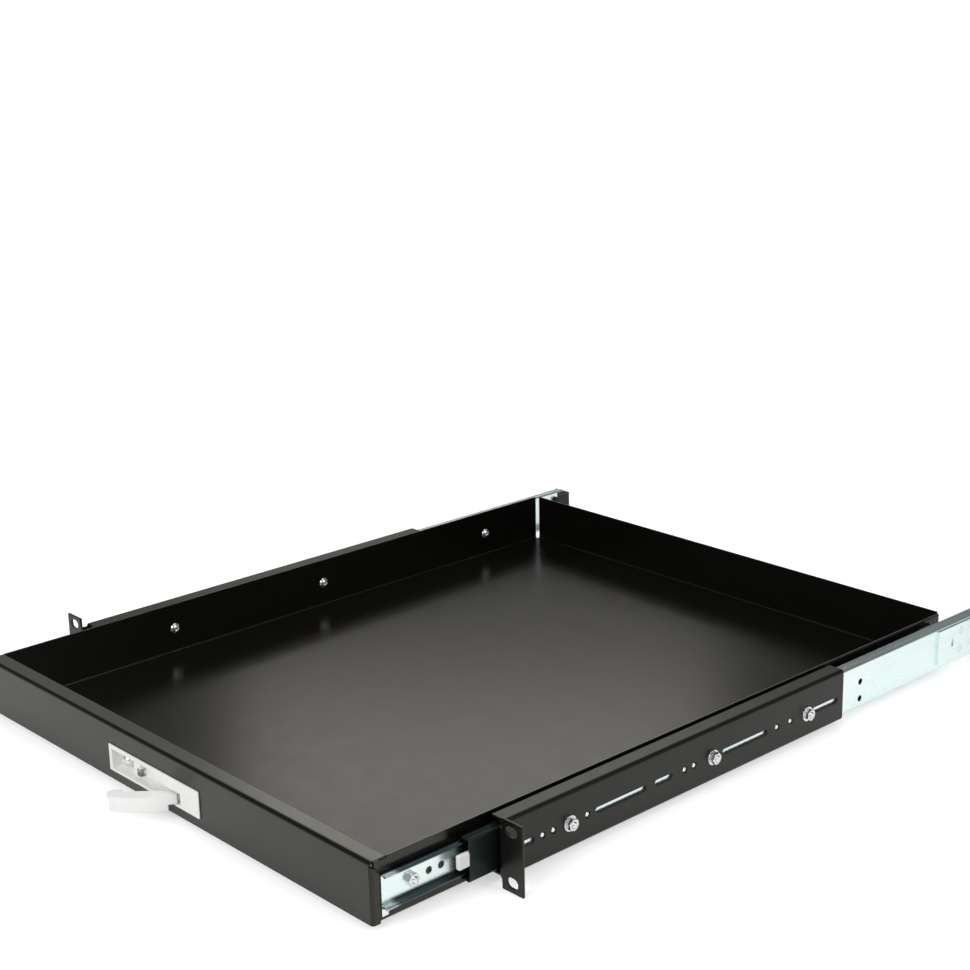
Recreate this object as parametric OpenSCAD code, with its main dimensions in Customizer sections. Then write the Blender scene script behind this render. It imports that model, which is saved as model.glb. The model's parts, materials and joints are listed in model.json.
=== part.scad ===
// Sliding keyboard drawer for a 19 inch rack, one unit high.
// A shallow folded steel tray runs on two three-part ball slides. Each slide sits in a black
// front bracket with a rack ear and ends in a small rear ear. The tray is drawn a little open.
// X is the width, Y runs to the back of the rack and Z is up. The origin is the centre of the
// four front ear holes, on the face of the ears that meets the rack rail.

/* [Rack ears] */
// Width over the two front ears
ear_span = 482.6; // [480:0.1:485]
// Distance between the left and the right ear holes
hole_pitch_x = 465.1; // [464:0.1:466]
// Distance between the upper and the lower hole of a front ear
hole_pitch_z = 31.75; // [31:0.05:32.5]
// Height of a front ear
ear_h = 44; // [43:0.1:44.4]
// Height of a rear ear
rear_ear_h = 15; // [13:0.5:20]
// Length of an ear slot
ear_slot_l = 9; // [8:0.1:10]
// Width of an ear slot
ear_slot_w = 6.5; // [6:0.1:7]
// How far the rear ears stand behind the slides' rear ends
ear_reach = 19.6; // [16:0.2:40]

/* [Tray] */
// Width of the tray over its front panel
tray_w = 420; // [416:0.5:421]
// Depth of the tray
tray_d = 534; // [500:1:560]
// Height of the tray
tray_h = 38.4; // [36:0.2:40]
// Thickness of the tray's sheet
sheet_t = 1.2; // [1:0.1:1.5]
// Inside radius of the tray's bends
sheet_r = 1; // [0.5:0.1:1.5]
// Depth of the lip on top of the front panel
lip_d = 12; // [8:0.5:14]
// Inside radius of the bend under that lip
lip_r = 1.5; // [1:0.1:2]
// Depth of the front panel's side returns
return_d = 6; // [5:0.1:6.5]
// Gap left open at the tray's rear corners
corner_gap = 1.9; // [1:0.1:3]
// How far the drawer is drawn out of its closed place
open_rest = 83; // [0:1:120]

/* [Ball slides] */
// How far the tray reaches behind the slides' inner members
tray_overhang = 47; // [40:1:60]
// Thickness of a slide, from the tray to the bracket
slide_t = 12.7; // [12.6:0.05:13]
// Height of the outer member
outer_h = 33; // [32:0.1:34]
// Thickness of the outer member's sheet
outer_t = 1.2; // [1:0.05:1.25]
// Thickness of the middle member's sheet
middle_t = 1; // [0.9:0.05:1.05]
// Thickness of the inner member's sheet
inner_t = 1.1; // [0.9:0.05:1.2]
// Diameter of the balls
ball_d = 2.4; // [2.3:0.05:2.5]
// Gap between a ball and its raceway
race_gap = 0.08; // [0.04:0.01:0.1]
// Thickness of a ball cage
cage_t = 0.5; // [0.4:0.05:0.55]
// Length of a ball cage
cage_l = 150; // [120:1:170]
// Number of balls in one row of a cage
ball_count = 8; // [6:1:10]
// Distance from the front panel's face to the slide
slide_setback = 7; // [6.8:0.1:9]
// How much the middle member starts behind the outer one
middle_setback = 15; // [12:0.5:20]

/* [Front brackets] */
// Length of a front bracket
bracket_l = 315; // [290:1:330]
// Thickness of the brackets and ears
bracket_t = 1.6; // [1.4:0.1:1.7]
// Depth of the bracket's flanges over the slide
bracket_flange = 12; // [9:0.5:13]
// Inside radius of the bracket's bends
bracket_r = 1; // [0.6:0.1:1.4]
// Width of the slots in the bracket
bracket_slot_w = 3.6; // [3:0.1:4.4]
// Diameter of the spare holes in the bracket
bracket_hole_d = 4; // [3:0.1:4.4]

/* [Rear extensions] */
// Length of a rear extension plate
extension_l = 59; // [50:1:70]
// Height of a rear extension plate
extension_h = 25; // [22:0.5:27]
// How far the rear ear's leg reaches over the extension plate
leg_lap = 16; // [15:0.5:24]

/* [Handle] */
// Width of the handle
handle_w = 100; // [90:1:120]
// Height of the handle
handle_h = 18; // [17:0.2:21]
// Sideways place of the handle on the panel
handle_x = -2.6; // [-20:0.2:20]
// Height of the handle's middle over the middle of the panel
handle_z = -3.3; // [-5:0.1:0]
// Thickness of the handle's bezel
bezel_t = 1; // [0.8:0.1:1.4]
// Depth of the recess behind the panel
recess_d = 9; // [8.6:0.1:10]
// Width of the fixed plate beside the hinge
fixed_w = 20; // [16:0.5:24]
// Length of the part of the recess that is open to its full height
pocket_l = 44.5; // [36:0.5:50]
// Length of the swinging paddle, from its hinge
paddle_l = 42; // [38:0.5:46]
// Height of the paddle's face
paddle_h = 10; // [9:0.1:11]
// How far the paddle's face hangs below the bezel
paddle_lip = 1.9; // [0.5:0.1:2.5]
// Depth of the paddle's flanges
paddle_d = 5; // [4:0.1:5.4]
// Thickness of the paddle's walls
paddle_t = 1.6; // [1.2:0.1:1.8]
// How far the paddle bulges forward
paddle_crown = 3.5; // [2:0.1:4]
// Gap between the paddle, swung square, and the fixed plate
hinge_gap = 3.8; // [3:0.1:5]
// Diameter of the hinge pin
pin_d = 3; // [2.4:0.1:3.2]
// How far the paddle is swung out of its closed place, in degrees
paddle_angle = 48; // [0:1:90]

/* [Fasteners] */
// Thread diameter of the screws
screw_d = 4; // [3.6:0.1:4.2]
// Width over the flats of the nuts
nut_w = 7; // [6.5:0.1:7.4]
// Height of the nuts
nut_h = 3.2; // [2.4:0.1:3.4]
// Diameter of the washers
washer_d = 10; // [8:0.1:11]
// Thickness of the washers
washer_t = 0.8; // [0.5:0.1:1]
// Diameter of the rivets
rivet_d = 4; // [3:0.1:4.4]

/* [Hidden] */

$fn = 48;
// Overrun of every cut past the face it leaves
cut = 1;
// Gap round a screw, a rivet or a pin in a plain hole
hole_gap = 0.15;
// Gap round a shaft that turns or a screw in its thread
fit_gap = 0.05;
// Gap between parts that pass each other
run_gap = 0.35;

// Lines of the drawer, front to back
front_y = -bracket_t - open_rest;
panel_back_y = front_y + sheet_t;
tray_rear_y = front_y + tray_d;
side_end_y = tray_rear_y - sheet_t - corner_gap;
// Half sizes of the tray
half_w = tray_w / 2;
half_h = tray_h / 2;
pan_x = half_w - sheet_t;

// Lines of the slides; each member's place is where it lies when the drawer is closed
slide_l = tray_d - slide_setback - tray_overhang;
inner_y = front_y + slide_setback + open_rest;
outer_y = inner_y;
middle_y = outer_y + middle_setback;
stop_gap = 0.4;
bumper_l = 4.6;
middle_l = slide_l - middle_setback - bumper_l - stop_gap;
cage_y = outer_y + (slide_l - cage_l) / 2 - middle_setback / 2;
// Share of the drawer's travel that each moving member makes
middle_share = 0.5;
outer_cage_share = 0.25;
inner_cage_share = 0.75;
outer_cage_y = cage_y - outer_cage_share * open_rest;
inner_cage_y = cage_y - inner_cage_share * open_rest;
// The bumper on the middle member's front end
nose_l = 8;
nose_grip = 4;
nose_h = 8.5;
nose_z = 1.5;

// Raceways of the slides, measured outwards from the tray's side
race_r = ball_d / 2 + race_gap;
web_x = slide_t;
outer_ball_z = outer_h / 2 - outer_t - race_r;
race_rise = race_r / 2;
ball_step = 2 * race_r + middle_t;
ball_lean = 54.6;
inner_ball_x = inner_t + 2 * race_r + cage_t / 2;
inner_ball_z = outer_ball_z - ball_step * sin(ball_lean);
outer_ball_x = inner_ball_x + ball_step * cos(ball_lean);
race_hug = 30;
outer_cage_x = web_x - outer_t - run_gap;
middle_web_x = outer_cage_x - cage_t - run_gap;
inner_cage_x = middle_web_x - middle_t - 3 * run_gap;
cage_flange = race_r + cage_t;
slide_r = 0.6;

// Holes along the slides, as shares of the slide's length
tray_screw_shares = [0.044, 0.304, 0.598, 0.965];
inner_hole_shares = [0.071, 0.09, 0.16, 0.45, 0.75, 0.85];
inner_hole_d = 4.6;
front_tab_l = 4.5;
front_tab_drop = 15.6;
pair_share = 0.689;
pair_pitch = 12.4;
pair_drop = 3.2;
pair_d = 4.4;

// Slots, holes and screws along the bracket, as shares of its length
bracket_slot_shares = [[0.04, 0.08], [0.24, 0.38], [0.405, 0.455], [0.605, 0.745], [0.895, 0.98]];
bracket_hole_shares = [0.102, 0.13, 0.219, 0.492, 0.52, 0.778, 0.822];
bracket_screw_shares = [0.171, 0.575, 0.876];
slot_row_z = -1.5;
bracket_relief = 3;
bracket_gap = 0.15;
bracket_h = outer_h + 2 * bracket_gap + 2 * bracket_t;

// Lines of the brackets and the rear ears, measured from the middle of the drawer
slide_x = pan_x;
web_face_x = slide_x + slide_t;
bracket_face_x = web_face_x + bracket_t;
outer_end_y = outer_y + slide_l;
mount_depth = outer_end_y + ear_reach;
extension_z = 1.5;
extension_slot_share = 0.29;
extension_slot_h = 6;
extension_slot_w = 2.5;
extension_rivet_share = 0.46;
extension_rivet_spread = 14;
ear_rivet_shares = [0.25, 0.75];
leg_y = outer_end_y - leg_lap;

// Heads of the fasteners
head_d = 2 * screw_d;
head_h = 0.6 * screw_d;
recess_w = 0.25 * screw_d;
recess_l = 1.1 * screw_d;
tip_l = 0.25 * screw_d;
rivet_head_d = 1.6 * rivet_d;
rivet_head_h = 0.25 * rivet_d;

// Lines of the handle
rim = 3;
rim_low = 1.8;
rim_left = 3.2;
recess_wall = 1.2;
recess_x0 = handle_x - handle_w / 2 + rim_left;
recess_x1 = handle_x + handle_w / 2 - fixed_w;
recess_h = handle_h - rim - rim_low;
recess_z = handle_z + (rim_low - rim) / 2;
recess_z0 = recess_z - recess_h / 2;
bezel_y = front_y - bezel_t;
recess_floor_y = front_y + recess_d - recess_wall;
pin_set = 3.5;
pin_y = front_y + pin_set;
pin_reach = pin_y - bezel_y;
pin_x = recess_x1 - hinge_gap - pin_reach;
// The paddle's face lies in front of the bezel's lower rim, and its body in a slot above that rim
knuckle_r = pin_reach - paddle_t / 2;
face_reach = pin_reach + run_gap + paddle_t;
face_z0 = handle_z - handle_h / 2 - paddle_lip;
body_z0 = recess_z0 + run_gap;
body_h = face_z0 + paddle_h - body_z0;
body_z = body_z0 + body_h / 2;
lip_start = pin_reach + 3 * run_gap;
slot_h = body_h + 6 * run_gap;
crown_r = (paddle_l * paddle_l / 4 + paddle_crown * paddle_crown) / (2 * paddle_crown);
// The paddle's deep end, and the tongue on it that the catch holds
end_l = 7;
end_d = recess_d - bezel_t;
tongue_l = 2.6;
tongue_d = 2.5;
tongue_h = 4;
// The post in the recess that carries the catch
leaf_t = 0.5;
post_w = 7.6;
post_d = 4.5;
post_x = pin_x - paddle_l - run_gap;
notch_l = tongue_l + leaf_t + 2 * run_gap;
notch_h = tongue_h + run_gap + 2 * leaf_t;
// The boss in the finger pocket and the clamp behind it
boss_d = 9;
boss_h = 3.5;
boss_x = (recess_x0 + post_x - post_w) / 2;
clamp_t = 2;
clamp_w = 14;

// Turns a flat shape drawn in X and Z into a bar that runs back from y0
module bar_y(y0, length) {
    translate([0, y0 + length, 0]) rotate([90, 0, 0]) linear_extrude(length) children();
}

// Turns a flat shape drawn in Y and Z into a bar that runs to the right from x0
module bar_x(x0, length) {
    translate([x0, 0, 0]) rotate([90, 0, 90]) linear_extrude(length) children();
}

// A round bar along X, from x0 on
module rod_x(x0, length, d) {
    translate([x0, 0, 0]) rotate([0, 90, 0]) cylinder(d = d, h = length);
}

// A cutter for a slot with round ends along Y, through a plate that lies across X
module slot_x(x0, length, l, w) {
    for (s = [-1, 1]) translate([0, s * (l - w) / 2, 0]) rod_x(x0, length, w);
    translate([x0, -(l - w) / 2, -w / 2]) cube([length, l - w, w]);
}

// A cutter for a slot with round ends along X, through a plate that lies across Y
module slot_y(y0, length, l, w) {
    for (s = [-1, 1]) translate([s * (l - w) / 2, y0 + length, 0])
        rotate([90, 0, 0]) cylinder(d = w, h = length);
    translate([-(l - w) / 2, y0, -w / 2]) cube([l - w, length, w]);
}

// A quarter bend of a sheet, round the flat origin, in the first quadrant
module bend(r, t) {
    intersection() {
        difference() {
            circle(r + t);
            circle(r);
        }
        square(r + t);
    }
}

// A sheet bent round a point from one angle to another
module curl(c, r, t, a0, a1) {
    far = 3 * (r + t);
    mid = (a0 + a1) / 2;
    translate(c) intersection() {
        difference() {
            circle(r + t);
            circle(r);
        }
        polygon([[0, 0], for (a = [a0, mid, a1]) far * [cos(a), sin(a)]]);
    }
}

// Half of a rolled channel, above the middle line: web, bend and flange up to x1
module half_channel(web0, t, top, x1) {
    translate([web0 < x1 ? web0 : web0 - t, 0]) square([t, top - slide_r - t]);
    s = web0 < x1 ? -1 : 1;
    bend_x = web0 - s * (slide_r + t);
    translate([bend_x, top - slide_r - t]) mirror([s < 0 ? 1 : 0, 0]) bend(slide_r, t);
    translate([min(bend_x, x1), top - t]) square([abs(bend_x - x1), t]);
}

// Draws a half above the middle line and its mirror image below it
module both_halves() {
    for (s = [0, 1]) mirror([0, s]) children();
}

// Draws the right-hand part, or its mirror image for the left-hand side
module on_side(left) {
    mirror([left ? 1 : 0, 0, 0]) children();
}

// Draws what both sides have
module each_side() {
    for (left = [false, true]) on_side(left) children();
}

// A countersunk screw that points outwards from the slide's web, or its hole
module sunk_screw(gap, length) {
    rotate([0, 90, 0]) {
        cylinder(r1 = screw_d / 2 + outer_t + gap, r2 = screw_d / 2 + gap, h = outer_t);
        cylinder(r = screw_d / 2 + gap, h = length);
    }
}

// A hexagon nut along X with its near face at zero
module nut() {
    difference() {
        rotate([0, 90, 0]) cylinder(d = nut_w / cos(30), h = nut_h, $fn = 6);
        rod_x(-cut, nut_h + 2 * cut, screw_d + 2 * fit_gap);
    }
}

// A low round head of diameter d and height h that rises along Z from zero
module dome(d, h) {
    r = (d * d / 4 + h * h) / (2 * h);
    rotate_extrude() intersection() {
        translate([0, h - r]) circle(r);
        square([d / 2, h]);
    }
}

// A low round screw head with a cross recess, rising along Z from zero
module pan_head() {
    difference() {
        dome(head_d, head_h);
        for (a = [0, 90]) rotate([0, 0, a]) translate([-recess_l / 2, -recess_w / 2, head_h / 2])
            cube([recess_l, recess_w, head_h]);
    }
}

// A rivet along X: its head outside or flush, its flared foot flush with the web's inner face
module rivet(stack, flush = false) {
    rotate([0, 90, 0]) {
        cylinder(r1 = rivet_d / 2 + outer_t / 2, r2 = rivet_d / 2, h = outer_t);
        cylinder(d = rivet_d, h = stack);
        if (flush) translate([0, 0, stack - outer_t])
            cylinder(r1 = rivet_d / 2, r2 = rivet_d / 2 + outer_t / 2, h = outer_t);
        else translate([0, 0, stack]) dome(rivet_head_d, rivet_head_h);
    }
}

module rivet_hole(stack, flush = false) {
    rotate([0, 90, 0]) {
        cylinder(r1 = rivet_d / 2 + outer_t / 2 + fit_gap, r2 = rivet_d / 2 + fit_gap, h = outer_t);
        translate([0, 0, -cut]) cylinder(d = rivet_d + 2 * fit_gap, h = stack + 2 * cut);
        if (flush) translate([0, 0, stack - outer_t])
            cylinder(r1 = rivet_d / 2 + fit_gap, r2 = rivet_d / 2 + outer_t / 2 + fit_gap, h = outer_t);
    }
}

// Places along the slides and brackets
module at_tray_screws() {
    for (s = tray_screw_shares) translate([0, inner_y - open_rest + s * slide_l, 0]) children();
}

module at_bracket_screws() {
    for (s = bracket_screw_shares) translate([0, s * bracket_l, slot_row_z]) children();
}

module at_extension_rivets() {
    y = outer_end_y - extension_l + extension_rivet_share * extension_l;
    for (s = [-1, 1]) translate([0, y, extension_z + s * extension_rivet_spread / 2]) children();
}

module at_ear_rivets() {
    for (s = ear_rivet_shares) translate([0, leg_y + s * leg_lap, 0]) children();
}

// The tray, folded from one sheet: floor, two side walls and rear wall. The side walls step
// down at the front, under the panel's lip
module tray_pan() {
    wall_z = -half_h + sheet_r + sheet_t;
    floor_w = 2 * (pan_x - sheet_r - sheet_t);
    rear_w = 2 * (pan_x - sheet_t - corner_gap);
    wall_y = panel_back_y + max(sheet_r, lip_r);
    color("#2b2b2b") difference() {
        union() {
            bar_y(panel_back_y, side_end_y - panel_back_y)
                translate([-floor_w / 2, -half_h]) square([floor_w, sheet_t]);
            bar_y(wall_y, side_end_y - wall_y) for (s = [0, 1]) mirror([s, 0]) {
                translate([floor_w / 2, wall_z]) mirror([0, 1]) bend(sheet_r, sheet_t);
                translate([pan_x - sheet_t, wall_z]) square([sheet_t, half_h - wall_z]);
            }
            bar_x(-rear_w / 2, rear_w) {
                bend_y = tray_rear_y - sheet_r - sheet_t;
                translate([side_end_y - cut, -half_h]) square([bend_y - side_end_y + cut, sheet_t]);
                translate([bend_y, wall_z]) mirror([0, 1]) bend(sheet_r, sheet_t);
                translate([tray_rear_y - sheet_t, wall_z]) square([sheet_t, half_h - wall_z]);
            }
        }
        translate([-half_w, panel_back_y, half_h - sheet_t])
            cube([tray_w, front_y + lip_d + run_gap - panel_back_y, sheet_t + cut]);
        each_side() at_tray_screws()
            rod_x(pan_x - sheet_t - cut, sheet_t + 2 * cut, screw_d + 2 * hole_gap);
    }
}

// The front panel: a face with a deep lip on top and a return round each side
module front_panel() {
    lip_z = half_h - lip_r - sheet_t;
    face_x = half_w - sheet_r - sheet_t;
    lip_x = half_w - sheet_t - run_gap;
    return_y = front_y + sheet_r + sheet_t;
    color("#2f2f2f") difference() {
        union() {
            translate([0, 0, -half_h]) linear_extrude(lip_z + half_h) {
                translate([-face_x, front_y]) square([2 * face_x, sheet_t]);
                for (s = [0, 1]) mirror([s, 0]) translate([face_x, return_y]) mirror([0, 1])
                    bend(sheet_r, sheet_t);
            }
            for (s = [0, 1]) mirror([s, 0, 0]) translate([half_w - sheet_t, return_y, -half_h])
                cube([sheet_t, return_d - sheet_r - sheet_t, tray_h]);
            bar_x(-lip_x, 2 * lip_x) {
                translate([front_y + lip_r + sheet_t, lip_z]) mirror([1, 0]) bend(lip_r, sheet_t);
                translate([front_y + lip_r + sheet_t, half_h - sheet_t])
                    square([lip_d - lip_r - sheet_t, sheet_t]);
            }
        }
        rim_out = recess_wall + hole_gap;
        translate([recess_x0 - rim_out, front_y - cut, recess_z0 - rim_out])
            cube([recess_x1 - recess_x0 + 2 * rim_out, sheet_t + 2 * cut, recess_h + 2 * rim_out]);
    }
}

// Pan head screws through the tray's walls and the slides, heads inside the tray
module tray_screws() {
    stack = sheet_t + inner_t + nut_h + tip_l;
    color("silver") each_side() at_tray_screws() translate([pan_x - sheet_t, 0, 0]) {
        rod_x(0, stack, screw_d);
        rotate([0, -90, 0]) pan_head();
    }
}

module tray_nuts() {
    color("silver") each_side() at_tray_screws() translate([slide_x + inner_t, 0, 0]) nut();
}

// The slide member on the tray: a rolled channel that opens outwards, with a tab at its front
module inner_member() {
    y = inner_y - open_rest;
    flat_top = inner_ball_z - race_rise;
    difference() {
        union() {
            bar_y(y, slide_l) translate([slide_x, 0]) both_halves() {
                half_channel(0, inner_t, flat_top, inner_ball_x - race_r * cos(race_hug));
                curl([inner_ball_x, inner_ball_z], race_r, inner_t, 180 + race_hug, 360 - race_hug);
            }
            translate([slide_x, y, -front_tab_drop]) cube([inner_t, front_tab_l, front_tab_drop]);
        }
        at_tray_screws() rod_x(slide_x - cut, inner_t + 2 * cut, screw_d + 2 * hole_gap);
        for (s = inner_hole_shares) translate([0, y + s * slide_l, 0])
            rod_x(slide_x - cut, inner_t + 2 * cut, inner_hole_d);
    }
}

// The middle member: its flanges wind between the two rows of balls
module middle_member() {
    y = middle_y - middle_share * open_rest;
    flat_top = outer_ball_z - race_rise;
    bar_y(y, middle_l) translate([slide_x, 0]) both_halves() {
        half_channel(middle_web_x, middle_t, flat_top, outer_ball_x + race_r * cos(race_hug));
        curl([outer_ball_x, outer_ball_z], race_r, middle_t, 180 + ball_lean, 360 - race_hug);
        curl([inner_ball_x, inner_ball_z], race_r, middle_t, ball_lean, 180 - race_hug);
    }
}

// The outer member: a rolled channel that opens towards the tray
module outer_member() {
    flat_top = outer_ball_z + race_rise + outer_t;
    difference() {
        bar_y(outer_y, slide_l) translate([slide_x, 0]) both_halves() {
            half_channel(web_x, outer_t, flat_top, outer_ball_x + race_r * cos(race_hug));
            curl([outer_ball_x, outer_ball_z], race_r, outer_t, race_hug, 180 - race_hug);
        }
        translate([web_face_x - outer_t, 0, 0]) {
            at_bracket_screws() sunk_screw(fit_gap, outer_t + cut);
            at_extension_rivets() rivet_hole(outer_t);
            at_ear_rivets() rivet_hole(outer_t);
            for (s = [-1, 1]) translate([0, outer_y + pair_share * slide_l, s * pair_pitch / 2 - pair_drop])
                rod_x(-cut, outer_t + 2 * cut, pair_d);
        }
    }
}

// A ball cage: a thin channel whose flanges hold the balls, with a hole for each
module cage(y, web0, ball_x, ball_z) {
    top = ball_z + cage_t / 2;
    difference() {
        bar_y(y, cage_l) translate([slide_x, 0]) both_halves()
            half_channel(web0, cage_t, top, ball_x - cage_flange);
        at_balls(y, ball_x, ball_z) translate([0, 0, -cage_t])
            cylinder(d = ball_d + 4 * fit_gap, h = 2 * cage_t);
    }
}

// Places of the balls of one cage: two rows, each evenly spaced
module at_balls(y, ball_x, ball_z) {
    pitch = cage_l / ball_count;
    for (s = [-1, 1], i = [0 : ball_count - 1])
        translate([slide_x + ball_x, y + pitch / 2 + i * pitch, s * ball_z]) children();
}

module outer_cage(left) {
    color("#c9c2a8") on_side(left) cage(outer_cage_y, outer_cage_x, outer_ball_x, outer_ball_z);
}

module inner_cage(left) {
    color("#c9c2a8") on_side(left) cage(inner_cage_y, inner_cage_x, inner_ball_x, inner_ball_z);
}

module outer_balls(left) {
    color("white") on_side(left) at_balls(outer_cage_y, outer_ball_x, outer_ball_z) sphere(d = ball_d);
}

module inner_balls(left) {
    color("white") on_side(left) at_balls(inner_cage_y, inner_ball_x, inner_ball_z) sphere(d = ball_d);
}

// The nylon bumper clipped to the front end of the middle member
module middle_bumper(left) {
    y = middle_y - middle_share * open_rest;
    inside = middle_web_x - middle_t;
    color("white") on_side(left) difference() {
        translate([slide_x + inside - 2 * middle_t, y - nose_l, nose_z - nose_h / 2])
            cube([3 * middle_t, nose_l + nose_grip, nose_h]);
        translate([slide_x + inside, y, nose_z - nose_h]) cube([2 * middle_t, nose_grip + cut, 2 * nose_h]);
    }
}

// The rubber stop at the rear end of the outer member
module rear_bumper(left) {
    color("#1d1d1d") on_side(left)
        translate([slide_x + inner_cage_x - cage_t, outer_end_y - bumper_l, -outer_h / 4])
            cube([web_x - outer_t - inner_cage_x + cage_t, bumper_l, outer_h / 2]);
}

// The black front bracket: a channel over the slide, with a rack ear bent out at its front
module front_bracket(left) {
    bend_r = bracket_r + bracket_t;
    flat_h = bracket_h - 2 * bend_r;
    color("#242424") on_side(left) difference() {
        union() {
            bar_y(bracket_relief, bracket_l - bracket_relief) {
                translate([web_face_x, -flat_h / 2]) square([bracket_t, flat_h]);
                both_halves() {
                    translate([bracket_face_x - bend_r, flat_h / 2]) bend(bracket_r, bracket_t);
                    translate([bracket_face_x - bracket_flange, bracket_h / 2 - bracket_t])
                        square([bracket_flange - bend_r, bracket_t]);
                }
            }
            translate([0, 0, -flat_h / 2]) linear_extrude(flat_h) {
                translate([web_face_x + bend_r, bracket_r]) mirror([1, 0]) mirror([0, 1])
                    bend(bracket_r, bracket_t);
                translate([web_face_x, bracket_r]) square([bracket_t, bracket_relief - bracket_r + cut]);
            }
            translate([web_face_x + bend_r, -bracket_t, -ear_h / 2])
                cube([ear_span / 2 - web_face_x - bend_r, bracket_t, ear_h]);
        }
        translate([web_face_x, 0, slot_row_z]) {
            for (s = bracket_slot_shares) translate([0, (s[0] + s[1]) / 2 * bracket_l, 0])
                slot_x(-cut, bracket_t + 2 * cut, (s[1] - s[0]) * bracket_l, bracket_slot_w);
            for (s = bracket_hole_shares) translate([0, s * bracket_l, 0])
                rod_x(-cut, bracket_t + 2 * cut, bracket_hole_d);
        }
        at_bracket_screws() rod_x(web_face_x - cut, bracket_t + 2 * cut, screw_d + 2 * hole_gap);
        for (s = [-1, 1]) translate([hole_pitch_x / 2, 0, s * hole_pitch_z / 2])
            slot_y(-bracket_t - cut, bracket_t + 2 * cut, ear_slot_l, ear_slot_w);
    }
}

module bracket_screws() {
    stack = outer_t + bracket_t + washer_t + nut_h + tip_l;
    color("silver") each_side() at_bracket_screws() translate([web_face_x - outer_t, 0, 0])
        sunk_screw(0, stack);
}

module bracket_washers() {
    color("silver") each_side() at_bracket_screws() translate([bracket_face_x, 0, 0]) difference() {
        rod_x(0, washer_t, washer_d);
        rod_x(-cut, washer_t + 2 * cut, screw_d + 2 * hole_gap);
    }
}

module bracket_nuts() {
    color("silver") each_side() at_bracket_screws() translate([bracket_face_x + washer_t, 0, 0]) nut();
}

// The zinc plate that carries the rear ear, riveted to the rear end of the outer member
module rear_extension(left) {
    y = outer_end_y - extension_l;
    color("#cfd8d6") on_side(left) difference() {
        translate([web_face_x, y, extension_z - extension_h / 2])
            cube([bracket_t, extension_l, extension_h]);
        translate([web_face_x, y + extension_slot_share * extension_l, extension_z]) rotate([90, 0, 0])
            slot_x(-cut, bracket_t + 2 * cut, extension_slot_h, extension_slot_w);
        translate([web_face_x - outer_t, 0, 0]) {
            at_extension_rivets() rivet_hole(outer_t + bracket_t, flush = true);
            at_ear_rivets() rivet_hole(outer_t + bracket_t);
        }
    }
}

module extension_rivets() {
    color("silver") each_side() at_extension_rivets() translate([web_face_x - outer_t, 0, 0])
        rivet(outer_t + bracket_t, flush = true);
}

// The black angle at the rear, with one slot for a rack screw
module rear_ear(left) {
    bend_r = bracket_r + bracket_t;
    color("#242424") on_side(left) difference() {
        translate([0, 0, -rear_ear_h / 2]) linear_extrude(rear_ear_h) {
            translate([bracket_face_x, leg_y]) square([bracket_t, mount_depth - bend_r - leg_y]);
            translate([bracket_face_x + bend_r, mount_depth - bend_r]) mirror([1, 0])
                bend(bracket_r, bracket_t);
            translate([bracket_face_x + bend_r, mount_depth - bracket_t])
                square([ear_span / 2 - bracket_face_x - bend_r, bracket_t]);
        }
        translate([hole_pitch_x / 2, mount_depth - bracket_t, 0])
            slot_y(-cut, bracket_t + 2 * cut, ear_slot_l, ear_slot_w);
        translate([web_face_x - outer_t, 0, 0]) at_ear_rivets() rivet_hole(outer_t + 2 * bracket_t);
    }
}

module ear_rivets() {
    color("silver") each_side() at_ear_rivets() translate([web_face_x - outer_t, 0, 0])
        rivet(outer_t + 2 * bracket_t);
}

// The handle's housing: a bezel on the panel and a recess behind it, with a finger pocket on the
// left, a lower slot for the paddle on the right and a post for the catch beside the paddle's end
module handle_housing() {
    length = recess_x1 - recess_x0;
    color("#dcdcd8") difference() {
        union() {
            difference() {
                union() {
                    translate([handle_x - handle_w / 2, bezel_y, handle_z - handle_h / 2])
                        cube([handle_w, bezel_t, handle_h]);
                    translate([recess_x0 - recess_wall, front_y, recess_z0 - recess_wall]) {
                        cube([pocket_l + 2 * recess_wall, recess_d, recess_h + 2 * recess_wall]);
                        cube([length + 2 * recess_wall, recess_d, slot_h + 2 * recess_wall]);
                    }
                }
                translate([recess_x0, bezel_y - cut, recess_z0]) {
                    cube([pocket_l, recess_floor_y - bezel_y + cut, recess_h]);
                    cube([length, recess_floor_y - bezel_y + cut, slot_h]);
                }
            }
            translate([post_x - post_w, recess_floor_y - post_d, recess_z0])
                cube([post_w, post_d, recess_h]);
            translate([boss_x, recess_floor_y, recess_z]) rotate([90, 0, 0])
                cylinder(d = boss_d, h = boss_h);
        }
        translate([post_x - notch_l, recess_floor_y - post_d - cut, body_z - notch_h / 2])
            cube([notch_l + cut, post_d + cut, notch_h]);
        translate([pin_x, pin_y, recess_z0 - recess_wall - cut])
            cylinder(d = pin_d + 2 * fit_gap, h = slot_h + 2 * recess_wall + 2 * cut);
        translate([boss_x, recess_floor_y + recess_wall + cut, recess_z]) rotate([90, 0, 0])
            cylinder(d = screw_d + 2 * hole_gap, h = boss_h + recess_wall + 2 * cut);
    }
}

// The screw on the boss, and the clamp that it pulls against the panel from behind
module housing_screw() {
    length = boss_h + recess_wall + clamp_t + tip_l;
    color("silver") translate([boss_x, recess_floor_y - boss_h, recess_z]) {
        rotate([-90, 0, 0]) cylinder(d = screw_d, h = length);
        rotate([90, 0, 0]) pan_head();
    }
}

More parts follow.
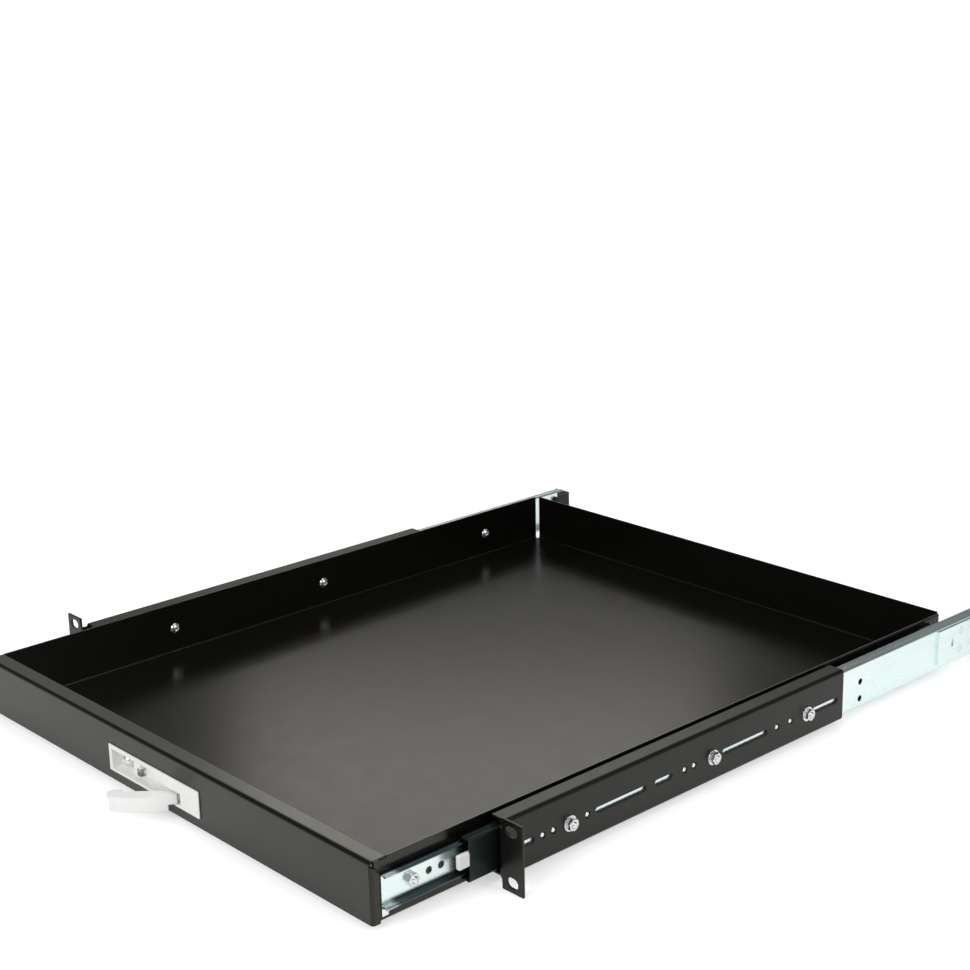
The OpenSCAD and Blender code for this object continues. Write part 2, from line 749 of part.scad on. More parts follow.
module housing_clamp() {
    back_y = front_y + recess_d;
    inner_h = recess_h + 2 * recess_wall + 2 * run_gap;
    color("#d6e0de") difference() {
        translate([boss_x - clamp_w / 2, panel_back_y, recess_z - inner_h / 2 - clamp_t])
            cube([clamp_w, back_y + clamp_t - panel_back_y, inner_h + 2 * clamp_t]);
        translate([boss_x - clamp_w, panel_back_y - cut, recess_z - inner_h / 2])
            cube([2 * clamp_w, back_y + cut - panel_back_y, inner_h]);
        translate([boss_x, back_y - cut, recess_z]) rotate([-90, 0, 0])
            cylinder(d = screw_d + 2 * fit_gap, h = clamp_t + 2 * cut);
    }
}

module handle_pin() {
    color("silver") translate([pin_x, pin_y, recess_z0 - recess_wall])
        cylinder(d = pin_d, h = slot_h + 2 * recess_wall);
}

// The spring clip in the post that holds the closed paddle by its tongue
module catch_spring() {
    color("silver") translate([post_x - notch_l, recess_floor_y - post_d, body_z]) {
        translate([0, 0, -notch_h / 2]) cube([leaf_t, post_d, notch_h]);
        for (s = [0, 1]) mirror([0, 0, s]) translate([0, 0, notch_h / 2 - leaf_t])
            cube([notch_l, post_d, leaf_t]);
    }
}

// A disc in plan whose lower edge is the paddle's crowned face, or lies a given depth behind it
module crown_disc(depth) {
    translate([-paddle_l / 2, crown_r - face_reach - paddle_crown]) circle(crown_r - depth);
}

// The paddle's body in plan: from the face back, deeper at its end, with a knuckle round the pin
module paddle_outline() {
    intersection() {
        crown_disc(0);
        union() {
            translate([-paddle_l, -face_reach - paddle_crown])
                square([paddle_l, face_reach + paddle_crown - pin_reach + paddle_d]);
            translate([-paddle_l, -pin_reach]) square([end_l, end_d]);
        }
    }
    circle(knuckle_r);
}

// What is hollow between the body's flanges: a cell in its end and a trough up to the knuckle
module paddle_hollow() {
    intersection() {
        crown_disc(paddle_t);
        union() {
            translate([paddle_t - paddle_l, -crown_r]) square([end_l - 2 * paddle_t, 2 * crown_r]);
            translate([end_l - paddle_l, -crown_r])
                square([paddle_l - end_l - knuckle_r - paddle_t, 2 * crown_r]);
        }
    }
}

// The lower part of the paddle's face, cut away near the hinge so that it clears the bezel
module paddle_lip() {
    intersection() {
        difference() {
            crown_disc(0);
            crown_disc(paddle_t);
        }
        translate([-paddle_l, -crown_r]) square([paddle_l - lip_start, crown_r]);
    }
}

module handle_paddle() {
    color("#e6e6e2") translate([pin_x, pin_y, 0]) rotate([0, 0, paddle_angle]) {
        difference() {
            translate([0, 0, body_z0]) linear_extrude(body_h) paddle_outline();
            translate([0, 0, body_z0 + paddle_t]) linear_extrude(body_h - 2 * paddle_t) paddle_hollow();
            translate([0, 0, body_z0 - cut]) cylinder(d = pin_d + 2 * fit_gap, h = body_h + 2 * cut);
        }
        translate([0, 0, face_z0]) linear_extrude(body_z0 - face_z0) paddle_lip();
        translate([-paddle_l - tongue_l, end_d - pin_reach - tongue_d, body_z - tongue_h / 2])
            cube([tongue_l + paddle_t / 2, tongue_d, tongue_h]);
    }
}

module zinc(left) {
    color("#d6e0de") on_side(left) children();
}

tray_pan();
front_panel();
tray_screws();
tray_nuts();
zinc(true) inner_member();  // inner_member_left
zinc(false) inner_member();  // inner_member_right
handle_housing();
housing_screw();
housing_clamp();
handle_pin();
catch_spring();
handle_paddle();
zinc(true) middle_member();  // middle_member_left
zinc(false) middle_member();  // middle_member_right
middle_bumper(true);  // middle_bumper_left
middle_bumper(false);  // middle_bumper_right
outer_cage(true);  // outer_cage_left
outer_cage(false);  // outer_cage_right
outer_balls(true);  // outer_balls_left
outer_balls(false);  // outer_balls_right
inner_cage(true);  // inner_cage_left
inner_cage(false);  // inner_cage_right
inner_balls(true);  // inner_balls_left
inner_balls(false);  // inner_balls_right
zinc(true) outer_member();  // outer_member_left
zinc(false) outer_member();  // outer_member_right
rear_bumper(true);  // rear_bumper_left
rear_bumper(false);  // rear_bumper_right
front_bracket(true);  // front_bracket_left
front_bracket(false);  // front_bracket_right
bracket_screws();
bracket_washers();
bracket_nuts();
rear_extension(true);  // rear_extension_left
rear_extension(false);  // rear_extension_right
extension_rivets();
rear_ear(true);  // rear_ear_left
rear_ear(false);  // rear_ear_right
ear_rivets();
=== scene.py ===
"""Rack keyboard drawer: materials, fine pieces, floor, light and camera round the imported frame.

Lengths are in metres in the CAD part's frame (x to the right, y to the rear, z up; the origin lies
in the middle of the rack's front face), so that e-3 marks millimetres. Colours are linear.
"""
import json
import math
import bmesh
import bpy
from mathutils import Matrix, Vector

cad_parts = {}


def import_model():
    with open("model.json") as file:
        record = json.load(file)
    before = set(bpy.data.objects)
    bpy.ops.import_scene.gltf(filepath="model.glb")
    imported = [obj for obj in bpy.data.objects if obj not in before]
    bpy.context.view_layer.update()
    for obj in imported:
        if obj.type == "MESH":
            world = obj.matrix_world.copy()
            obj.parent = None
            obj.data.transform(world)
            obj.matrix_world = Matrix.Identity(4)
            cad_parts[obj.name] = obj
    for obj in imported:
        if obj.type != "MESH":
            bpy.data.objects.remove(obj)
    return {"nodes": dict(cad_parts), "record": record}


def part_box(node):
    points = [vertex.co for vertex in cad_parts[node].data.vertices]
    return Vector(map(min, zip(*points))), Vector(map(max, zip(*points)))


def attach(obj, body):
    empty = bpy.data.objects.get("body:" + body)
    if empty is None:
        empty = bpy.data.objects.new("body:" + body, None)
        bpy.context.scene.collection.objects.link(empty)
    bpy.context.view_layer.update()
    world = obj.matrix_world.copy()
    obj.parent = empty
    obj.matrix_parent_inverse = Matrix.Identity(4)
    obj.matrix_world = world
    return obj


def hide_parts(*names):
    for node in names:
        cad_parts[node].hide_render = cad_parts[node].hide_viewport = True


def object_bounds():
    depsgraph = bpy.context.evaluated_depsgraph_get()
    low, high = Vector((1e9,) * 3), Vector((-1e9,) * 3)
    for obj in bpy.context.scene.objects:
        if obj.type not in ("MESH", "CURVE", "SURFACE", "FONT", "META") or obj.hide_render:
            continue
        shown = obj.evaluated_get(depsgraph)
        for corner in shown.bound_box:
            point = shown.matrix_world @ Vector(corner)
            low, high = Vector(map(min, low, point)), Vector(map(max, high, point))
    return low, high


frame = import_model()
cad_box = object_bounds()
nodes = frame["nodes"]

SAME_POINT = 1e-6  # points closer than this are one


# ---------------------------------------------------------------- materials

class Maker:
    """A node material under construction: a Principled shader and helpers that hang nodes on it."""

    def __init__(self, name, color, rough, metallic=0.0, **constants):
        self.mat = bpy.data.materials.new(name)
        self.mat.use_nodes = True
        self.mat.diffuse_color = (*color, 1)
        self.tree = self.mat.node_tree
        self.shader = self.tree.nodes["Principled BSDF"]
        self.color = color
        self.rough = rough
        self.shader.inputs["Base Color"].default_value = (*color, 1)
        self.shader.inputs["Roughness"].default_value = rough
        self.shader.inputs["Metallic"].default_value = metallic
        for key, value in constants.items():
            self.shader.inputs[key.replace("_", " ")].default_value = value
        self.coords = self.add("ShaderNodeTexCoord").outputs["Object"]

    def add(self, kind, **settings):
        node = self.tree.nodes.new(kind)
        for key, value in settings.items():
            setattr(node, key, value)
        return node

    def link(self, a, b):
        self.tree.links.new(a, b)

    def axis(self, vector, letter):
        """One of a vector's three values."""
        node = self.add("ShaderNodeSeparateXYZ")
        self.link(vector, node.inputs["Vector"])
        return node.outputs[letter]

    def compute(self, operation, *values):
        node = self.add("ShaderNodeMath", operation=operation)
        for place, value in enumerate(values):
            self.link(value, node.inputs[place])
        return node.outputs["Value"]

    def noise(self, scale, detail=3, stretch=(1, 1, 1)):
        """A noise value from 0 to 1; scale is in features per metre."""
        mapping = self.add("ShaderNodeMapping")
        mapping.inputs["Scale"].default_value = stretch
        self.link(self.coords, mapping.inputs["Vector"])
        tex = self.add("ShaderNodeTexNoise")
        tex.inputs["Scale"].default_value = scale
        tex.inputs["Detail"].default_value = detail
        self.link(mapping.outputs["Vector"], tex.inputs["Vector"])
        return tex.outputs["Fac"]

    def spread(self, value, low, high, start=0.3, end=0.7):
        """Maps a value between start and end to low and high."""
        node = self.add("ShaderNodeMapRange")
        node.inputs["From Min"].default_value = start
        node.inputs["From Max"].default_value = end
        node.inputs["To Min"].default_value = low
        node.inputs["To Max"].default_value = high
        self.link(value, node.inputs["Value"])
        return node.outputs["Result"]

    def blend(self, value, dark, light):
        """A colour between two, by a value from 0 to 1."""
        node = self.add("ShaderNodeMix", data_type="RGBA")
        node.inputs["A"].default_value = (*dark, 1)
        node.inputs["B"].default_value = (*light, 1)
        self.link(value, node.inputs["Factor"])
        return node.outputs["Result"]

    def cover(self, under, film, share_a, share_b):
        """A colour with a film of another colour over it, as dense as the product of two shares."""
        node = self.add("ShaderNodeMix", data_type="RGBA")
        node.inputs["B"].default_value = (*film, 1)
        self.link(self.compute("MULTIPLY", share_a, share_b), node.inputs["Factor"])
        self.link(under, node.inputs["A"])
        return node.outputs["Result"]

    def paint(self, color):
        self.link(color, self.shader.inputs["Base Color"])

    def varied(self, value, amount):
        """The base colour up and down by a share of itself."""
        dark = [c * (1 - amount) for c in self.color]
        light = [min(1, c * (1 + amount)) for c in self.color]
        return self.blend(value, dark, light)

    def vary_rough(self, value, amount):
        self.link(self.spread(value, self.rough - amount, self.rough + amount),
                  self.shader.inputs["Roughness"])

    def bump(self, value, depth, strength, soft_edge):
        """Height from a value; soft_edge is the radius to which sharp edges look rounded."""
        node = self.add("ShaderNodeBump")
        node.inputs["Distance"].default_value = depth
        node.inputs["Strength"].default_value = strength
        self.link(value, node.inputs["Height"])
        bevel = self.add("ShaderNodeBevel", samples=4)
        bevel.inputs["Radius"].default_value = soft_edge
        self.link(bevel.outputs["Normal"], node.inputs["Normal"])
        self.link(node.outputs["Normal"], self.shader.inputs["Normal"])


COAT_TINT = (1.0, 0.98, 0.88, 1)  # of the powder coat's shine
SHEEN_PAINT_SLOPES = (0.93, 0.995)       # z of the normals from which the painted sheen sets in, and lies fully
SHEEN_PAINT_RISE = 0.4e-3                # height over which it sets in
ZINC_COOL = (0.90, 0.97, 0.98)    # the passivation's two tints, as shares of the zinc's colour
ZINC_WARM = (1.04, 1.03, 1.01)
# painted shade: the dark teal band on the inner members' lower raceways
PAINTED_SHADE = (0.125, 0.175, 0.185)
PAINTED_SHADE_RISE = 4e-3                # length over which the painted shade sets in


def powder_black(name, color, rough, grain, shine, painted_sheen, painted_sheen_above=-1.0):
    """Powder coat: orange peel, faint clouds, and a painted sheen (a lighter colour) on up-facing
    faces above a height.
    """
    m = Maker(name, color, rough, Specular_IOR_Level=shine, Specular_Tint=COAT_TINT)
    upward = m.axis(m.add("ShaderNodeNewGeometry").outputs["Normal"], "Z")
    height = m.axis(m.coords, "Z")
    m.paint(m.cover(m.varied(m.noise(14), 0.10), painted_sheen,
                    m.spread(upward, 0, 1, *SHEEN_PAINT_SLOPES),
                    m.spread(height, 0, 1, painted_sheen_above, painted_sheen_above + SHEEN_PAINT_RISE)))
    m.vary_rough(m.noise(55), 0.012)
    m.bump(m.noise(grain, detail=2), 0.025e-3, 1.0, soft_edge=0.3e-3)
    return m.mat


def zinc_plate(name, color, rough, metallic=1.0, painted_shade_band=None):
    """Zinc plate: streaks along the slide and a cool, slightly blotchy passivation.

    The last argument gives the two distances above and below the slide's middle between which a
    dark band of painted shade sets in, and the y where the band starts."""
    m = Maker(name, color, rough, metallic=metallic)
    cool = [c * share for c, share in zip(color, ZINC_COOL)]
    warm = [min(1, c * share) for c, share in zip(color, ZINC_WARM)]
    plate = m.blend(m.spread(m.noise(26, stretch=(1, 0.3, 1)), 0, 1), cool, warm)
    # a dark band of painted shade off the slide's middle
    if painted_shade_band:
        near, far, start = painted_shade_band
        off_middle = m.compute("ABSOLUTE", m.axis(m.coords, "Z"))
        plate = m.cover(plate, PAINTED_SHADE, m.spread(off_middle, 0, 1, near, far),
                        m.spread(m.axis(m.coords, "Y"), 0, 1, start, start + PAINTED_SHADE_RISE))
    m.paint(plate)
    m.vary_rough(m.noise(180, stretch=(1, 0.06, 1)), 0.05)
    m.bump(m.noise(900, stretch=(1, 0.05, 1)), 0.04e-3, 0.3, soft_edge=0.25e-3)
    return m.mat


def bright_steel(name, color, rough):
    """Bare or plated steel with a fine, even grain."""
    m = Maker(name, color, rough, metallic=1.0)
    m.paint(m.varied(m.noise(140), 0.08))
    m.vary_rough(m.noise(300), 0.06)
    m.bump(m.noise(700, detail=2), 0.03e-3, 0.4, soft_edge=0.15e-3)
    return m.mat


def moulded(name, color, rough, grain=1500, depth=0.04e-3, edge=0.4e-3):
    """Moulded plastic or rubber with a matt grain."""
    m = Maker(name, color, rough, Specular_IOR_Level=0.5)
    m.paint(m.varied(m.noise(40), 0.03))
    m.vary_rough(m.noise(90), 0.05)
    m.bump(m.noise(grain, detail=2), depth, 0.5, soft_edge=edge)
    return m.mat


ZINC = (0.84, 0.93, 0.92)
ZINC_ROUGH = 0.28

tray_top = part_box("tray_pan")[1][2]
MATERIALS = {
    # Both coats get a painted sheen on up-facing faces: the tray only along its rim, the bracket on
    # all its top faces
    "tray_black": powder_black("tray powder coat", (0.0030, 0.0028, 0.0024), 0.21, grain=420,
                               shine=0.50, painted_sheen=(0.066, 0.066, 0.058),
                               painted_sheen_above=tray_top - 1.2e-3),
    "bracket_black": powder_black("bracket coat", (0.0040, 0.0041, 0.0036), 0.30, grain=520,
                                  shine=0.36, painted_sheen=(0.034, 0.034, 0.026)),
    "zinc": zinc_plate("zinc plate", ZINC, ZINC_ROUGH),
    # painted shade: a darkened copy of the zinc for the middle members, which lie in shade
    "dark_zinc": zinc_plate("zinc darkened as painted shade", (0.018, 0.028, 0.027), 0.34, metallic=0.75),
    "fastener": bright_steel("bright fasteners", (0.78, 0.79, 0.78), 0.26),
    "spring_steel": bright_steel("spring steel", (0.48, 0.48, 0.47), 0.3),
    "cage_steel": bright_steel("cage steel", (0.62, 0.60, 0.52), 0.34),
    "ball_steel": bright_steel("ball steel", (0.8, 0.8, 0.82), 0.12),
    "nylon": moulded("nylon", (0.82, 0.83, 0.80), 0.45),
    "rubber": moulded("rubber", (0.022, 0.022, 0.022), 0.75, grain=700, depth=0.1e-3),
    "handle_plastic": moulded("handle plastic", (0.93, 0.93, 0.91), 0.36, grain=1300,
                              depth=0.03e-3, edge=0.6e-3),
}

# The inner members' raceways get a dark band of painted shade behind their front ends
slide_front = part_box("inner_member_right")[0][1]
zinc_with_painted_shade = zinc_plate("zinc plate with painted raceway shade", ZINC, ZINC_ROUGH,
                          painted_shade_band=(6.6e-3, 8.2e-3, slide_front + 6e-3))

for part in frame["record"]["subparts"]:
    target = nodes[part["node"]]
    is_inner_member = part["node"].startswith("inner_member")
    target.data.materials.clear()
    target.data.materials.append(zinc_with_painted_shade if is_inner_member
                                 else MATERIALS[part["material_slot"]])


# ---------------------------------------------------------------- edges

# Widths of the rounded edges, by CAD node
EASED_EDGES = {
    "tray_pan": 0.25e-3, "front_panel": 0.3e-3,
    "front_bracket_left": 0.3e-3, "front_bracket_right": 0.3e-3,
    "rear_ear_left": 0.3e-3, "rear_ear_right": 0.3e-3, "bracket_washers": 0.12e-3,
    "handle_housing": 0.3e-3, "handle_paddle": 0.4e-3, "handle_pin": 0.3e-3,
    "catch_spring": 0.1e-3, "housing_clamp": 0.2e-3,
    "middle_bumper_left": 0.4e-3, "middle_bumper_right": 0.4e-3,
    "rear_bumper_left": 0.5e-3, "rear_bumper_right": 0.5e-3,
}
# A node whose pocket would tear if its flat triangles were joined
UNJOINED = "handle_housing"


def ease_edges(name, width):
    """Rounds the sharp edges of a CAD node, whose flat triangles are joined first."""
    modifiers = nodes[name].modifiers
    weld = modifiers.new("weld", "WELD")
    weld.merge_threshold = SAME_POINT
    if name != UNJOINED:
        flats = modifiers.new("flats", "DECIMATE")
        flats.decimate_type = "DISSOLVE"
        flats.angle_limit = math.radians(0.5)
    bevel = modifiers.new("edges", "BEVEL")
    bevel.width = width
    bevel.segments = 2
    bevel.limit_method = "ANGLE"
    bevel.angle_limit = math.radians(38)
    bevel.use_clamp_overlap = False
    bevel.miter_outer = "MITER_ARC"
    normals = modifiers.new("normals", "WEIGHTED_NORMAL")
    normals.keep_sharp = True


for name, width in EASED_EDGES.items():
    ease_edges(name, width)


# ---------------------------------------------------------------- small hardware

RING_POINTS = 72           # round a screw or a nut
SCREW_R = 2e-3             # M4
SCREW_CHAMFER = 0.1e-3     # at the neck and at a flat head's rim
DOME_UNDERCUT = 0.12e-3    # by which a domed head draws in at its seat
THREAD_PITCH = 0.7e-3
THREAD_DEPTH = 0.32e-3
THREAD_RINGS = 6           # for one turn of the thread
TIP_CHAMFER = 0.45e-3
HEAD_RINGS = 26
RECESS_DEPTH = 1e-3
WING_SIDES = (0.26e-3, 0.76e-3)   # the cross recess: where its floor ends and where its wall ends,
WING_ENDS = (1.1e-3, 2.3e-3)      # off a wing's middle line, along a wing
RECESS_MIDDLE = (0.3e-3, 1.2e-3)  # and round its middle
NUT_WIDTH = 7e-3           # across flats
NUT_BORE = 2.05e-3
NUT_COUNTERSINK = 0.3e-3
NUT_CONE = 0.475           # radius of a nut's flat face, as a share of its width
NUT_FALL = 0.55            # how far a corner falls back for each unit it stands past that
STUD_POINTS = 28
STUD_R = 1.72e-3
STUD_H = 1.5e-3
# A stud's outline, as shares of its height and its radius
STUD_OUTLINE = ((0, 1), (0.35, 1), (0.6, 0.96), (0.8, 0.82), (0.93, 0.55), (1, 0.2))
# The studs stand on the outer members' webs, in the round holes of the brackets
STUD_X = 0.2214
STUD_Y_MM = (32.13, 40.95, 68.99, 154.98, 163.8, 245.07, 258.93)
STUD_Z = -1.5e-3


def solids(name):
    """Lowest and highest corners of each separate solid of a CAD node."""
    bm = bmesh.new()
    bm.from_mesh(nodes[name].data)
    bmesh.ops.remove_doubles(bm, verts=bm.verts, dist=SAME_POINT)
    left = set(bm.verts)
    found = []
    while left:
        stack = [left.pop()]
        group = []
        while stack:
            v = stack.pop()
            group.append(v.co.copy())
            for e in v.link_edges:
                other = e.other_vert(v)
                if other in left:
                    left.remove(other)
                    stack.append(other)
        found.append((Vector(min(c[i] for c in group) for i in range(3)),
                      Vector(max(c[i] for c in group) for i in range(3))))
    bm.free()
    return sorted(found, key=lambda box: tuple(round(c, 4) for c in box[0]))


class Mesher:
    """Rings of points round an axis, joined to closed skins, all in one mesh."""

    def __init__(self):
        self.bm = bmesh.new()

    def skin(self, rings, origin, axis, loop=False):
        """Joins rings in their order; with loop the last one joins the first, else both close.

        A ring is a list of points, each a distance along the axis, a radius and an angle."""
        axis = Vector(axis).normalized()
        side = axis.orthogonal().normalized() if abs(axis.z) > 0.9 else Vector((0, 0, 1))
        third = axis.cross(side)
        rows = [[self.bm.verts.new(
                    origin + axis * d + (side * math.cos(a) + third * math.sin(a)) * r)
                 for d, r, a in points] for points in rings]
        n = len(rows[0])
        pairs = list(zip(rows, rows[1:])) + ([(rows[-1], rows[0])] if loop else [])
        for low, high in pairs:
            for i in range(n):
                j = (i + 1) % n
                self.bm.faces.new((low[i], low[j], high[j], high[i]))
        if not loop:
            for row in (rows[0], rows[-1]):
                mid = self.bm.verts.new(sum((v.co for v in row), Vector()) / n)
                for i in range(n):
                    self.bm.faces.new((mid, row[i], row[(i + 1) % n]))

    def finish(self, name, body, slot, replaced=(), smooth=32):
        """Makes the object; edges sharper than smooth degrees stay sharp."""
        bmesh.ops.recalc_face_normals(self.bm, faces=self.bm.faces)
        mesh = bpy.data.meshes.new(name)
        self.bm.to_mesh(mesh)
        self.bm.free()
        o = bpy.data.objects.new(name, mesh)
        bpy.context.scene.collection.objects.link(o)
        mesh.materials.append(MATERIALS[slot])
        mesh.shade_smooth()
        mesh.set_sharp_from_angle(angle=math.radians(smooth))
        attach(o, body)
        if replaced:
            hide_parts(*replaced)


def around(n, turn=0.0):
    """n angles round a circle, from turn on."""
    return [turn + 2 * math.pi * i / n for i in range(n)]


def ring(distance, radius, n=RING_POINTS, turn=0.0):
    """A ring of points; distance and radius are one number, or a list with one for each point."""
    distances, radii = (v if isinstance(v, list) else [v] * n for v in (distance, radius))
    return list(zip(distances, radii, around(n, turn)))


def hex_nut(m, origin, height, turn):
    """A hexagonal nut along x: corners chamfered on both faces, and a countersunk bore."""
    side = RING_POINTS // 6
    outline = [NUT_WIDTH / 2 / math.cos((i % side - side / 2) * 2 * math.pi / RING_POINTS)
               for i in range(RING_POINTS)]
    cone = NUT_CONE * NUT_WIDTH
    face = [min(r, cone) for r in outline]
    fall = [max(0.0, r - cone) * NUT_FALL for r in outline]
    rise = [height - f for f in fall]
    mouth = NUT_BORE + NUT_COUNTERSINK
    profile = ((NUT_COUNTERSINK, NUT_BORE), (0, mouth), (0, face), (fall, outline),
               (rise, outline), (height, face), (height, mouth),
               (height - NUT_COUNTERSINK, NUT_BORE))
    m.skin([ring(d, r, turn=turn) for d, r in profile], origin, (1, 0, 0), loop=True)


def thread_rings(start, end):
    """A screw thread from start to end, with a chamfered tip at the end."""
    rings = []
    steps = max(2, round((end - start) / THREAD_PITCH * THREAD_RINGS))
    for k in range(steps + 1):
        d = start + (end - start) * k / steps
        tip = SCREW_R - TIP_CHAMFER + (end - d)
        points = []
        for a in around(RING_POINTS):
            phase = (d / THREAD_PITCH - a / (2 * math.pi)) % 1.0
            # A flat crest and a flat root, with flanks between them
            crest = min(1.0, max(0.0, 1.35 - abs(phase - 0.5) * 4.4))
            points.append((d, min(SCREW_R - THREAD_DEPTH * (1 - crest), tip), a))
        rings.append(points)
    return rings


def slope(value, full, none):
    """1 up to full, 0 from none on, and a smooth fall between."""
    t = min(1.0, max(0.0, (none - value) / (none - full)))
    return t * t * (3 - 2 * t)


def head_rings(head_r, head_h, turn, flat):
    """A screw head from its middle outwards: a dome or a flat top with a tapered cross recess."""
    ball_r = (head_r ** 2 + head_h ** 2) / (2 * head_h)
    rings = []
    for k in range(HEAD_RINGS + 1):
        r = head_r * (0.02 + 0.98 * k / HEAD_RINGS)
        top = 0.0 if flat else ball_r - math.sqrt(ball_r ** 2 - r ** 2)
        points = []
        for a in around(RING_POINTS):
            y, z = abs(r * math.cos(a + turn)), abs(r * math.sin(a + turn))
            recess = max(slope(y, *WING_SIDES) * slope(z, *WING_ENDS),
                         slope(z, *WING_SIDES) * slope(y, *WING_ENDS),
                         slope(r, *RECESS_MIDDLE))
            points.append((max(top, RECESS_DEPTH * recess), r, a))
        rings.append(points)
    return rings


def screws(node, along, head_r, head_h, body, slot, flat=False):
    """Threaded screws with a cross recess in the place of a node's plain ones.

    along is the number of their axis. Those along x point away from the drawer's middle."""
    m = Mesher()
    for k, (low, high) in enumerate(solids(node)):
        mid = (low + high) / 2
        sign = 1 if along == 1 or mid.x > 0 else -1
        start = Vector(mid)
        start[along] = low[along] if sign > 0 else high[along]
        axis = Vector((0, 0, 0))
        axis[along] = sign
        turn = math.radians(17 + 41 * k)
        neck = ring(head_h, SCREW_R - SCREW_CHAMFER)
        if flat:
            rings = head_rings(head_r - SCREW_CHAMFER, head_h, turn, flat)
            rings += [ring(SCREW_CHAMFER, head_r), neck]
        else:
            rings = head_rings(head_r, head_h, turn, flat)
            rings += [ring(head_h, head_r - DOME_UNDERCUT), neck]
        rings += thread_rings(head_h + SCREW_CHAMFER, high[along] - low[along])
        m.skin(rings, start, axis)
    m.finish(node + "_formed", body, slot, (node,), smooth=50)


def nuts(node, body, slot):
    """Chamfered nuts along x in the place of a node's plain ones, each turned its own way."""
    m = Mesher()
    for k, (low, high) in enumerate(solids(node)):
        mid = (low + high) / 2
        hex_nut(m, Vector((low.x, mid.y, mid.z)), high.x - low.x, math.radians(k * 23 % 60))
    m.finish(node + "_formed", body, slot, (node,))


def domed_studs(name, places, out, body, slot):
    """Round studs with a small shoulder and a domed top, pressed out of a sheet."""
    m = Mesher()
    for place in places:
        m.skin([ring(STUD_H * up, STUD_R * wide, STUD_POINTS) for up, wide in STUD_OUTLINE],
               Vector(place), out)
    m.finish(name, body, slot)


nuts("bracket_nuts", "rack_frame", "fastener")
nuts("tray_nuts", "drawer", "fastener")
screws("bracket_screws", 0, 3.2e-3, 1.2e-3, "rack_frame", "fastener", flat=True)
screws("tray_screws", 0, 4e-3, 2.3e-3, "drawer", "fastener")
screws("housing_screw", 1, 4e-3, 2.3e-3, "drawer", "fastener")

for side, sign in (("left", -1), ("right", 1)):
    spots = [(sign * STUD_X, y / 1000, STUD_Z) for y in STUD_Y_MM]
    domed_studs("locating_studs_" + side, spots, (sign, 0, 0), "rack_frame", "zinc")


# ---------------------------------------------------------------- stage

FLOOR_SIZE = 60
FLOOR_DROP = 0.2e-3            # below the object's lowest point
FLOOR_COLOR = (0.72, 0.72, 0.72)
FLOOR_GLOW = (0.55, 1.0)       # as the camera sees it, near the object and far from it
FLOOR_REACH = (0.8, 4.5)       # the distances from the origin that belong to the two
FLOOR_MIRRORED = 0.40          # its glow as glossy surfaces see it

SKY_RISE = 0.22                # z of a direction up to which the studio dims
SKY_LOW, SKY_HIGH = 0.9, 0.16  # its strength level with the horizon, and above that rise

# Name, place, point aimed at, width and height, watts, colour
LAMPS = (
    ("key", (0.4, -2.4, 1.5), (0, 0.0, 0), (1.8, 1.4), 44, (1, 1, 1)),
    ("side", (2.4, 0.4, 1.6), (0, 0.2, 0), (1.6, 1.2), 26, (1, 1, 1)),
    ("top", (-0.3, 0.5, 2.8), (0, 0.2, 0), (2.0, 2.0), 26, (1, 1, 1)),
    ("sheen", (-2.16, 2.13, 1.62), (0, 0.15, 0), (1.2, 0.72), 4.5, (1.0, 0.98, 0.93)),
)

CAMERA_PLACE = (0.9184, -0.6435, 0.4985)
CAMERA_LOOK = (-0.7072, 0.6467, -0.2859)
CAMERA_ROLL = -1.15            # degrees
CAMERA_LENS = 69.16            # millimetres, on a sensor 36 wide


def backdrop():
    """A wide pale floor: white away from the object, with a soft shadow under it."""
    bpy.ops.mesh.primitive_plane_add(size=FLOOR_SIZE,
                                     location=(0, 0, cad_box[0][2] - FLOOR_DROP))
    floor = bpy.context.object
    floor.name = "stage_floor"
    m = Maker("pale floor", FLOOR_COLOR, 0.9, Specular_IOR_Level=0.0, Emission_Color=(1, 1, 1, 1))
    path = m.add("ShaderNodeLightPath")
    reach = m.add("ShaderNodeVectorMath", operation="LENGTH")
    m.link(m.coords, reach.inputs[0])
    glow = m.add("ShaderNodeMix")
    m.link(path.outputs["Is Camera Ray"], glow.inputs["Factor"])
    m.link(m.spread(path.outputs["Is Glossy Ray"], 0.0, FLOOR_MIRRORED, 0, 1), glow.inputs["A"])
    m.link(m.spread(reach.outputs["Value"], *FLOOR_GLOW, *FLOOR_REACH), glow.inputs["B"])
    m.link(glow.outputs["Result"], m.shader.inputs["Emission Strength"])
    m.paint(m.varied(m.noise(2, detail=2), 0.01))
    floor.data.materials.append(m.mat)


def area(name, place, aim, size, power, color):
    light = bpy.data.lights.new(name, "AREA")
    light.shape = "RECTANGLE"
    light.size, light.size_y = size
    light.energy = power
    light.color = color
    o = bpy.data.objects.new(name, light)
    o.location = place
    o.rotation_euler = (Vector(aim) - Vector(place)).to_track_quat("-Z", "Y").to_euler()
    bpy.context.scene.collection.objects.link(o)


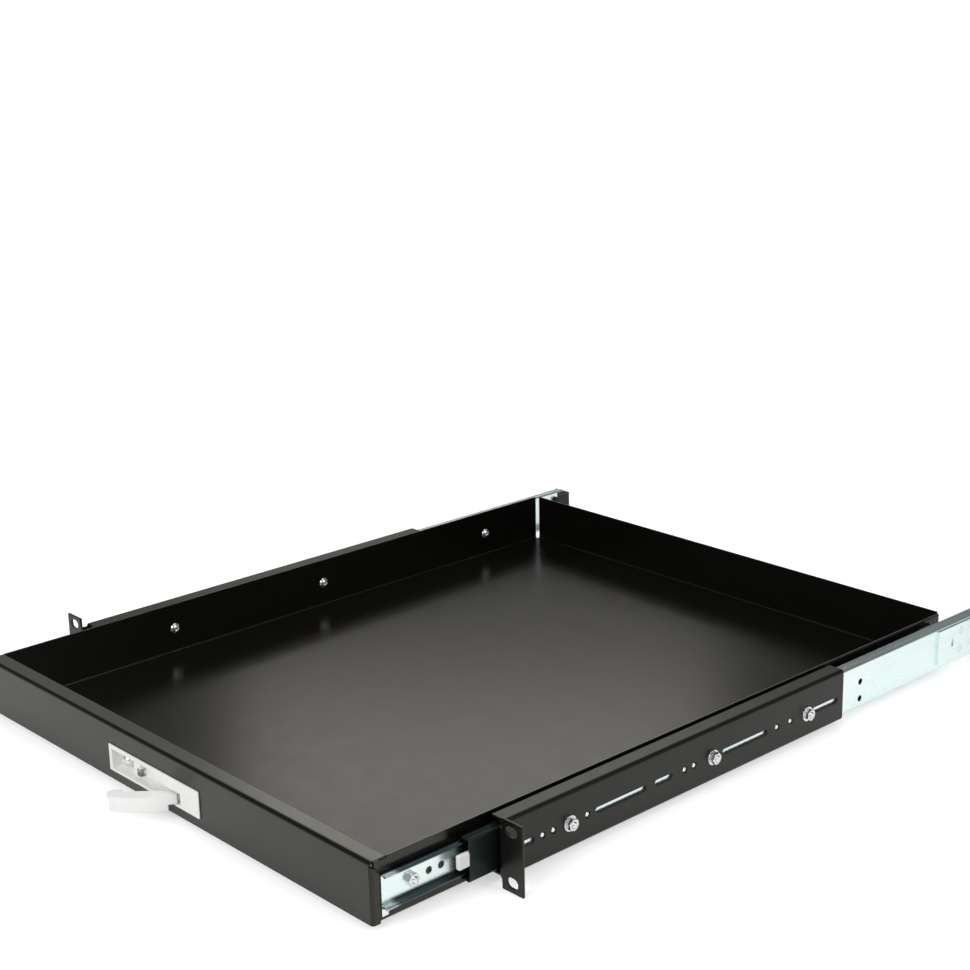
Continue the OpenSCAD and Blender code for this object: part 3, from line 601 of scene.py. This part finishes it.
def world():
    """A studio that is white low down and dimmer overhead; the camera sees it plain white."""
    w = bpy.data.worlds.new("studio")
    bpy.context.scene.world = w
    w.use_nodes = True
    tree = w.node_tree
    back = tree.nodes["Background"]
    back.inputs["Color"].default_value = (1, 1, 1, 1)
    coords = tree.nodes.new("ShaderNodeTexCoord")
    split = tree.nodes.new("ShaderNodeSeparateXYZ")
    tree.links.new(coords.outputs["Generated"], split.inputs["Vector"])
    ramp = tree.nodes.new("ShaderNodeMapRange")
    ramp.interpolation_type = "SMOOTHSTEP"
    ramp.inputs["From Min"].default_value = 0.0
    ramp.inputs["From Max"].default_value = SKY_RISE
    ramp.inputs["To Min"].default_value = SKY_LOW
    ramp.inputs["To Max"].default_value = SKY_HIGH
    tree.links.new(split.outputs["Z"], ramp.inputs["Value"])
    path = tree.nodes.new("ShaderNodeLightPath")
    level = tree.nodes.new("ShaderNodeMix")
    level.inputs["B"].default_value = 1.0
    tree.links.new(path.outputs["Is Camera Ray"], level.inputs["Factor"])
    tree.links.new(ramp.outputs["Result"], level.inputs["A"])
    tree.links.new(level.outputs["Result"], back.inputs["Strength"])


def camera():
    """The photograph's camera, solved from the tray's corners, with no shift."""
    cam = bpy.data.cameras.new("photo camera")
    cam.sensor_fit = "HORIZONTAL"
    cam.sensor_width = 36
    cam.lens = CAMERA_LENS
    cam.clip_end = 50
    o = bpy.data.objects.new("photo camera", cam)
    forward = Vector(CAMERA_LOOK).normalized()
    level = forward.cross(Vector((0, 0, 1))).normalized()
    upright = level.cross(forward)
    roll = math.radians(CAMERA_ROLL)
    right = level * math.cos(roll) + upright * math.sin(roll)
    up = upright * math.cos(roll) - level * math.sin(roll)
    turn = Matrix((right, up, -forward)).transposed().to_4x4()
    o.matrix_world = Matrix.Translation(CAMERA_PLACE) @ turn
    bpy.context.scene.collection.objects.link(o)
    bpy.context.scene.camera = o


backdrop()
world()
camera()
for lamp in LAMPS:
    area(*lamp)
bpy.context.scene.view_settings.view_transform = "Standard"
